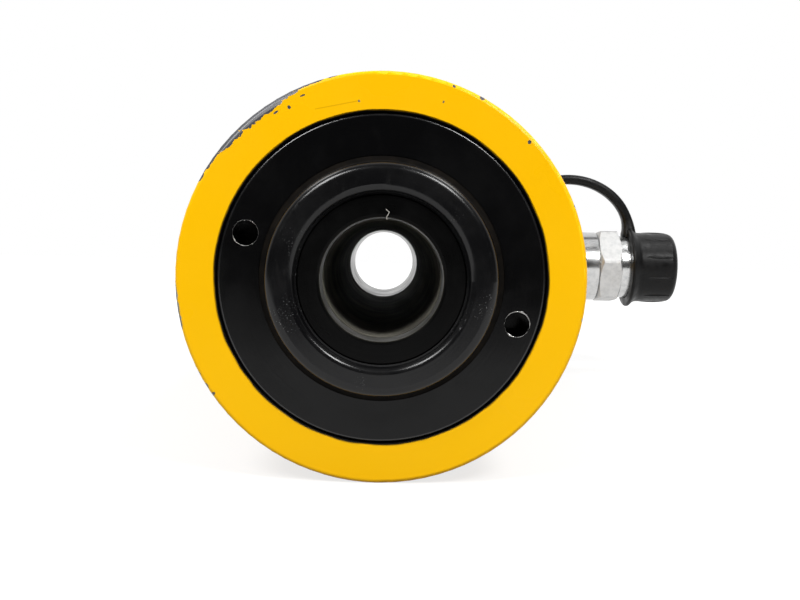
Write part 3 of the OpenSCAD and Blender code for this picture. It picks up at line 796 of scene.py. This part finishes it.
RIB_COUNT = 10
RIB_RADIUS = 1.0 * MM
RIB_PROUD = 0.34 * MM
rib_x0 = cap_x0 + LIP_LENGTH + 2.5 * MM
rib_x1 = cap_x1 - 2.2 * MM
ribs = grow("dust_cap_ribs", rib_tree(), {
    "Count": RIB_COUNT, "Circle": cap_r + RIB_PROUD - RIB_RADIUS, "Rib radius": RIB_RADIUS,
    "Rib length": (rib_x1 - rib_x0) / 2, "Middle": ((rib_x0 + rib_x1) / 2, port_y, 0),
    "Finish": rubber.material}, rubber, "dust_cap")
print("ribs:", RIB_COUNT, "with", len(ribs.data.polygons), "faces")

# %% [markdown]
# ## Strap
# The strap keeps the cap on the cylinder. It is a soft flat band that arches from a loop round the coupler's
# shoulder to the cap's lip. A band with round edges is swept along the same half ellipse as the solid, and it
# grows thicker where it joins the lip.

# %% Sweep the strap
STRAP_T = 5.2 * MM
STRAP_W = 7.0 * MM
STRAP_STEPS = 48
BAND_SIDES = 20
CAP_ROOT = 0.14
LOOP_ROOT = 0.10
loop_x = strap_low.x + 3.5 * MM
strap_end_x = cap_x0 + 1.4 * MM
strap_foot_z = 18.0 * MM
strap_half = (strap_end_x - loop_x) / 2
strap_middle = (strap_end_x + loop_x) / 2
strap_rise = strap_high.z - STRAP_T / 2 - strap_foot_z


def band_ring(build, centre, across, thick, wide):
    """One ring of the strap's rounded section: across lies in the arch's plane, the width runs along Y."""
    ring = []
    for i in range(BAND_SIDES):
        t = 2 * math.pi * i / BAND_SIDES
        c, s = math.cos(t), math.sin(t)
        a = math.copysign(abs(c) ** 0.6, c) * thick / 2
        b = math.copysign(abs(s) ** 0.6, s) * wide / 2
        ring.append(build.verts.new(centre + across * a + Vector((0, 1, 0)) * b))
    return ring


def strap_mesh():
    mesh = bpy.data.meshes.new("strap_band")
    build = bmesh.new()
    rings = []
    for i in range(STRAP_STEPS + 1):
        t = math.pi * (1.0 - i / STRAP_STEPS)
        height = strap_foot_z + strap_rise * math.sin(t)
        centre = Vector((strap_middle + strap_half * math.cos(t), port_y, height))
        across = Vector((strap_rise * math.cos(t), 0, strap_half * math.sin(t))).normalized()
        near_cap = max(0.0, (i / STRAP_STEPS - 1 + CAP_ROOT) / CAP_ROOT)
        near_loop = max(0.0, (LOOP_ROOT - i / STRAP_STEPS) / LOOP_ROOT)
        thick = STRAP_T * (1 + 0.45 * near_cap ** 2 + 0.5 * near_loop ** 2)
        rings.append(band_ring(build, centre, across, thick, STRAP_W * (1 + 0.5 * near_cap ** 2)))
    for side, depth in ((0, -2.2 * MM), (-1, -1.6 * MM)):
        ring = rings[side]
        tucked = [build.verts.new(v.co + Vector((0, 0, depth))) for v in ring]
        rings.insert(0 if side == 0 else len(rings), tucked)
    for a, b in zip(rings, rings[1:]):
        for i in range(BAND_SIDES):
            j = (i + 1) % BAND_SIDES
            build.faces.new((a[i], b[i], b[j], a[j]))
    build.faces.new(rings[0])
    build.faces.new(rings[-1])
    bmesh.ops.recalc_face_normals(build, faces=build.faces)
    build.to_mesh(mesh)
    build.free()
    mesh.shade_smooth()
    mesh.set_sharp_from_angle(angle=math.radians(50))
    return mesh


strap = new_piece("strap_band", strap_mesh(), rubber, None)
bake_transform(strap)
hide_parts("cap_strap")

LOOP_INNER = 14.3 * MM
LOOP_OUTER = 18.3 * MM
LOOP_HALF = 3.5 * MM
LOOP_ROUND = 1.4 * MM
loop_profile = []
for corner_x, corner_r, start in ((1, 1, 90), (1, -1, 0), (-1, -1, -90), (-1, 1, -180)):
    centre = (loop_x + corner_x * (LOOP_HALF - LOOP_ROUND),
              (LOOP_OUTER + LOOP_INNER) / 2 + corner_r * ((LOOP_OUTER - LOOP_INNER) / 2 - LOOP_ROUND))
    loop_profile += arc(centre, LOOP_ROUND, start, start - 90, 6)
new_piece("strap_loop", turned("strap_loop", loop_profile), rubber, "barrel")
print("strap arch %.1f mm high" % (strap_high.z / MM))

# %% [markdown]
# ## Burrs on the spanner holes
# A pin spanner has raised the rims of the two holes in the stop ring. The bright burr is an uneven ring of
# thin wire, thicker where the spanner slipped. It is swept round each hole with a thickness that a few waves
# vary.

# %% Raise the burrs
SPANNER_PCD = 79.4 * MM
SPANNER_D = 7.1 * MM
BURR_SIDES = 8
BURR_STEPS = 72
# For each hole: the directions of its bright stretches in degrees, their spread, and their height in mm
BURR_SPOTS = {
    -17.5: ((100, 18, 0.20), (70, 22, 0.24), (38, 16, 0.24), (5, 16, 0.13), (135, 18, 0.11), (240, 16, 0.26),
            (285, 14, 0.12)),
    162.5: ((215, 20, 0.11), (258, 22, 0.09), (80, 30, 0.03)),
}


def burr_height(turn, spots):
    total = 0.02
    for middle, spread, height in spots:
        off = (turn - middle + 180) % 360 - 180
        total = max(total, height * math.exp(-(off / spread) ** 2))
    slow = 0.22 * math.sin(math.radians(turn * 7))
    quick = 0.14 * math.sin(math.radians(turn * 17))
    return total * MM * (1 + slow + quick)


def burr_mesh(at, spots):
    mesh = bpy.data.meshes.new("spanner_burr")
    build = bmesh.new()
    centre = Vector((SPANNER_PCD / 2 * math.cos(math.radians(at)), stop_face_y,
                     SPANNER_PCD / 2 * math.sin(math.radians(at))))
    rings = []
    for i in range(BURR_STEPS):
        turn = 360 * i / BURR_STEPS
        out = Vector((math.cos(math.radians(turn)), 0, math.sin(math.radians(turn))))
        size = burr_height(turn, spots)
        middle = centre + out * (SPANNER_D / 2 + size * 0.25)
        ring = []
        for k in range(BURR_SIDES):
            t = 2 * math.pi * k / BURR_SIDES
            rise = Vector((0, -0.7, 0)) * size * math.sin(t)
            ring.append(build.verts.new(middle + out * size * math.cos(t) + rise))
        rings.append(ring)
    for i in range(BURR_STEPS):
        a, b = rings[i], rings[(i + 1) % BURR_STEPS]
        for k in range(BURR_SIDES):
            m = (k + 1) % BURR_SIDES
            build.faces.new((a[k], b[k], b[m], a[m]))
    bmesh.ops.recalc_face_normals(build, faces=build.faces)
    build.to_mesh(mesh)
    build.free()
    mesh.shade_smooth()
    return mesh


for index, (turn, spots) in enumerate(BURR_SPOTS.items()):
    new_piece("spanner_burr_%d" % (index + 1), burr_mesh(turn, spots), burr_steel, "barrel")
print("burrs:", len(BURR_SPOTS))

# %% [markdown]
# ## Worn edge of the stop ring
# The stop ring's sharp edge has worn round, and the round edge catches the softboxes. A thin quarter bead
# turned about the cylinder's axis fills the chamfer of the solid.

# %% Round the stop ring's edge
EDGE = 0.8 * MM
edge_r = stop_high.x
edge_centre = (stop_face_y + EDGE, edge_r - EDGE)
edge_profile = arc(edge_centre, EDGE, 180, 90, 8) + [edge_centre]
edge_mesh = turned("stop_ring_edge", edge_profile, on_cylinder)
edge_finish = black_steel("worn_edge_black", (0.004, 0.004, 0.0045, 1), (0.014, 0.014, 0.014, 1),
                          scuffs=0.5, rough_low=0.2, rough_high=0.3, shine=0.6)
new_piece("stop_ring_edge", edge_mesh, edge_finish, "barrel")
print("stop ring edge at %.1f mm" % (edge_r / MM))

# %% [markdown]
# ## Threads
# The collar carries a fine screw thread for a bracket, and the two holes in the base are tapped. One tree
# makes all three: a spiral curve with a round wire swept along it, most of it sunk in the wall, so that a low
# rounded ridge is left. Its inputs are the radius, the pitch, the number of turns and the wire.

# %% Cut the threads with Geometry Nodes


def thread_tree():
    tree, given, out = new_tree("screw_thread", [
        ("Radius", "NodeSocketFloat"), ("Pitch", "NodeSocketFloat"), ("Turns", "NodeSocketFloat"),
        ("Wire", "NodeSocketFloat"), ("Start", "NodeSocketVector"), ("Finish", "NodeSocketMaterial")])
    link = tree.links.new
    length = add(tree, "ShaderNodeMath", operation="MULTIPLY")
    link(given.outputs["Pitch"], length.inputs[0])
    link(given.outputs["Turns"], length.inputs[1])
    spiral = add(tree, "GeometryNodeCurveSpiral")
    spiral.inputs["Resolution"].default_value = 72
    link(given.outputs["Turns"], spiral.inputs["Rotations"])
    link(given.outputs["Radius"], spiral.inputs["Start Radius"])
    link(given.outputs["Radius"], spiral.inputs["End Radius"])
    link(length.outputs[0], spiral.inputs["Height"])
    wire = add(tree, "GeometryNodeCurvePrimitiveCircle")
    wire.inputs["Resolution"].default_value = 8
    link(given.outputs["Wire"], wire.inputs["Radius"])
    sweep = add(tree, "GeometryNodeCurveToMesh")
    sweep.inputs["Fill Caps"].default_value = True
    link(spiral.outputs[0], sweep.inputs["Curve"])
    link(wire.outputs[0], sweep.inputs["Profile Curve"])
    turn = add(tree, "GeometryNodeTransform")
    turn.inputs["Rotation"].default_value = (math.pi / 2, 0, 0)
    link(sweep.outputs[0], turn.inputs["Geometry"])
    link(given.outputs["Start"], turn.inputs["Translation"])
    coat = add(tree, "GeometryNodeSetMaterial")
    link(turn.outputs[0], coat.inputs["Geometry"])
    link(given.outputs["Finish"], coat.inputs["Material"])
    link(coat.outputs[0], out.inputs[0])
    return tree


thread = thread_tree()
COLLAR_PITCH = 2.117 * MM
COLLAR_TURNS = 17.6
COLLAR_BACK = front_y + 41 * MM
THREAD_PROUD = 0.32 * MM
WIRE = 0.9 * MM
collar_thread = grow("collar_thread", thread, {
    "Radius": body_r + THREAD_PROUD - WIRE, "Pitch": COLLAR_PITCH, "Turns": COLLAR_TURNS, "Wire": WIRE,
    "Start": (0, COLLAR_BACK, 0), "Finish": paint_finish.material}, paint_finish, "barrel")
BASE_HOLE_R = 4 * MM
BASE_HOLE_PLACE = 46.1 * MM
BASE_PITCH = 1.5875 * MM
BASE_TURNS = 7.5
BASE_WIRE = 0.5 * MM
BASE_START = -1.2 * MM
for index, side in enumerate((1, -1)):
    grow("base_thread_%d" % (index + 1), thread, {
        "Radius": BASE_HOLE_R + 0.1 * MM, "Pitch": BASE_PITCH, "Turns": BASE_TURNS, "Wire": BASE_WIRE,
        "Start": (0, BASE_START, side * BASE_HOLE_PLACE), "Finish": wire.material,
    }, wire, "barrel")
print("collar thread faces:", len(collar_thread.data.polygons))

# %% [markdown]
# ## Springs
# Each spring is a copy of its solid's coil, hung on the barrel in place of the solid, and its length along
# its axis is printed.


def shortening_spring(node, axis):
    """A copy of a spring's coil on the barrel, in place of the solid; gives back its length along the axis.
    """
    low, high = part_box(node)
    length = (high - low).dot(Vector(axis))
    coil = new_piece(node + "_coil", nodes[node].data.copy(), wire, "barrel")
    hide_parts(node)
    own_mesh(coil)
    return length


long_spring = shortening_spring("return_spring", (0, 1, 0))
short_spring = shortening_spring("poppet_spring", (1, 0, 0))
print("springs %.0f and %.0f mm long" % (long_spring / MM, short_spring / MM))

# %% [markdown]
# ## A fibre on the saddle
# A pale crooked fibre lies on the saddle above the hole. It is a hair-thin tube through four points.

# %% Lay the fibre
FIBRE_R = 0.11 * MM
FIBRE_POINTS = [(0.82, 18.92), (1.70, 18.14), (1.00, 16.84), (1.15, 16.20)]
saddle_face_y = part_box("saddle")[0].y


def fibre_mesh():
    curve = bpy.data.curves.new("saddle_fibre", "CURVE")
    curve.dimensions = "3D"
    curve.bevel_depth = FIBRE_R
    curve.bevel_resolution = 2
    curve.use_fill_caps = True
    line = curve.splines.new("POLY")
    line.points.add(len(FIBRE_POINTS) - 1)
    for point, (across, up) in zip(line.points, FIBRE_POINTS):
        point.co = (across * MM, saddle_face_y - FIBRE_R * 0.8, up * MM, 1)
    holder = bpy.data.objects.new("fibre_holder", curve)
    scene.collection.objects.link(holder)
    mesh = bpy.data.meshes.new_from_object(holder.evaluated_get(bpy.context.evaluated_depsgraph_get()))
    bpy.data.objects.remove(holder)
    mesh.name = "saddle_fibre"
    mesh.shade_smooth()
    return mesh


lint = plain_finish("pale_fibre", (0.55, 0.53, 0.48, 1), (0.42, 0.40, 0.36, 1), 0.6, 0.8,
                    metallic=0.0, grain=900, depth=0.01 * MM, shine=0.2)
new_piece("saddle_fibre", fibre_mesh(), lint, "plunger")
print("fibre points:", len(FIBRE_POINTS))
